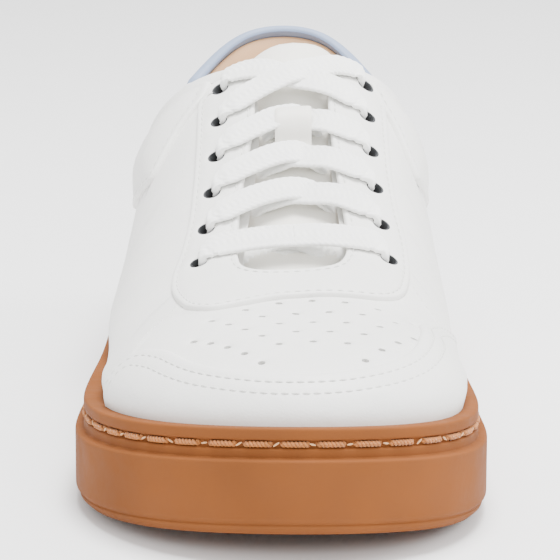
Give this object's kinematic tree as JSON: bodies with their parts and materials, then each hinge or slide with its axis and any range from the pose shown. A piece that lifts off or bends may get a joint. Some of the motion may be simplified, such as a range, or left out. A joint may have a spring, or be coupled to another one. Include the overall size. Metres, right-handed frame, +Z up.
{
  "type": "court shoe",
  "caption": "Low-top leather court shoe for the right foot, with a stitched rubber cupsole, laced eyestay, padded collar and a hinged tongue tip.",
  "frame": {"origin": "centre of the footprint on the ground, at the bottom of the outsole", "axes": "+Z up, +Y towards the heel, +X towards the inner (medial) side of the foot"},
  "size_m": [0.115, 0.3061, 0.1038],
  "materials": {
    "gum_rubber": "matte moulded gum rubber",
    "sole_thread": "twisted waxed thread",
    "foam": "soft cell foam",
    "board": "pressed fibre board",
    "tan_leather": "soft unfinished lining leather",
    "white_leather": "smooth coated leather with a fine grain",
    "stiffener": "resin-filled felt",
    "white_lining": "brushed textile",
    "blue_leather": "fine matte leather",
    "tongue_leather": "soft white leather",
    "lace_cotton": "flat woven cotton",
    "lace_tip": "clear plastic sleeve"
  },
  "bodies": {
    "shoe": {"outsole": "gum_rubber", "sole_thread": "sole_thread", "midsole_foam": "foam", "insole_board": "board", "footbed_foam": "foam", "footbed_cover": "tan_leather", "vamp": "white_leather", "toe_guard": "white_leather", "toe_puff": "stiffener", "vamp_lining": "white_lining", "quarter_lateral": "white_leather", "quarter_medial": "white_leather", "heel_counter": "stiffener", "eyestay": "white_leather", "eyelet_stays": "stiffener", "collar_lateral": "white_leather", "collar_medial": "white_leather", "collar_padding": "foam", "collar_rim": "white_leather", "heel_tab": "blue_leather", "quarter_lining": "tan_leather", "tongue": "tongue_leather", "tongue_padding": "foam", "tongue_lining": "white_lining", "lace_keeper": "tongue_leather", "lace": "lace_cotton", "lace_tips": "lace_tip"},
    "tongue_flap": {"tongue_tip": "tongue_leather", "tongue_tip_padding": "foam"}
  },
  "joints": [
    {"name": "tongue_bend", "type": "hinge", "parent": "shoe", "child": "tongue_flap", "pos_m": [0.004, 0.0385, 0.0935], "axis": [1, 0, 0], "range_deg": [-10, 15], "stiffness_Nm_per_rad": 0.05}
  ]
}
